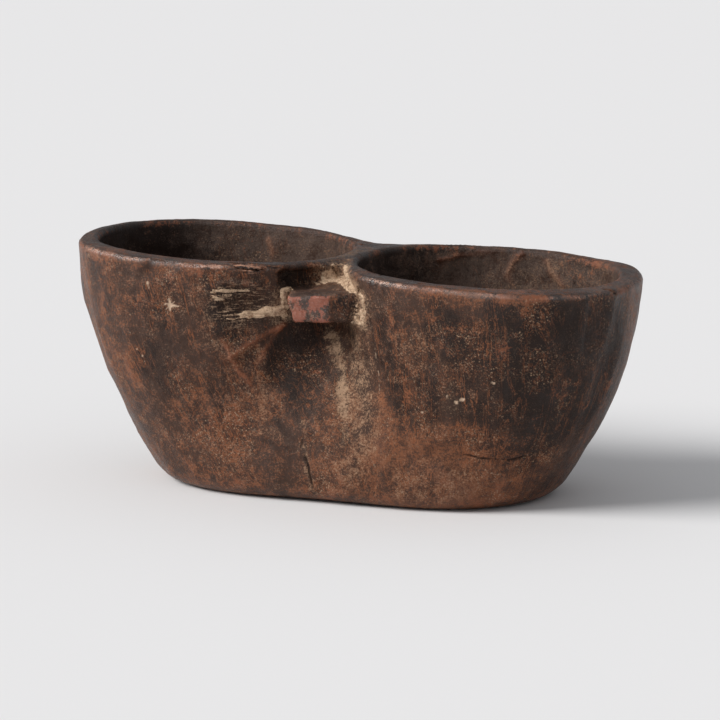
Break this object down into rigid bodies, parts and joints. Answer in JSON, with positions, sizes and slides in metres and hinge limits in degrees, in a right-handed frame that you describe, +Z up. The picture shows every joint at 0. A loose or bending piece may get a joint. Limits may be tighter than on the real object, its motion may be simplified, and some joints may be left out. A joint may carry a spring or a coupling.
{
  "type": "double wooden bowl",
  "caption": "Dark hand-carved double bowl: two deep cups in one block of wood, joined at a pinched waist, with a short lug below the rim.",
  "frame": {"origin": "middle of the block's flat underside, on the surface it stands on", "axes": "+X along the two bowls, towards the lower end of the rim; +Y away from the side with the lug; +Z up"},
  "size_m": [0.3, 0.14, 0.1265],
  "materials": {
    "carved_wood": "hand-worn, waxy dark patina over red-brown wood",
    "lug_crust": "dry, granular, chalky",
    "scar_crust": "dry, fibrous, chalky"
  },
  "bodies": {
    "root": {"double_bowl": "carved_wood", "lug_crust": "lug_crust", "scar_crust": "scar_crust"}
  },
  "joints": []
}
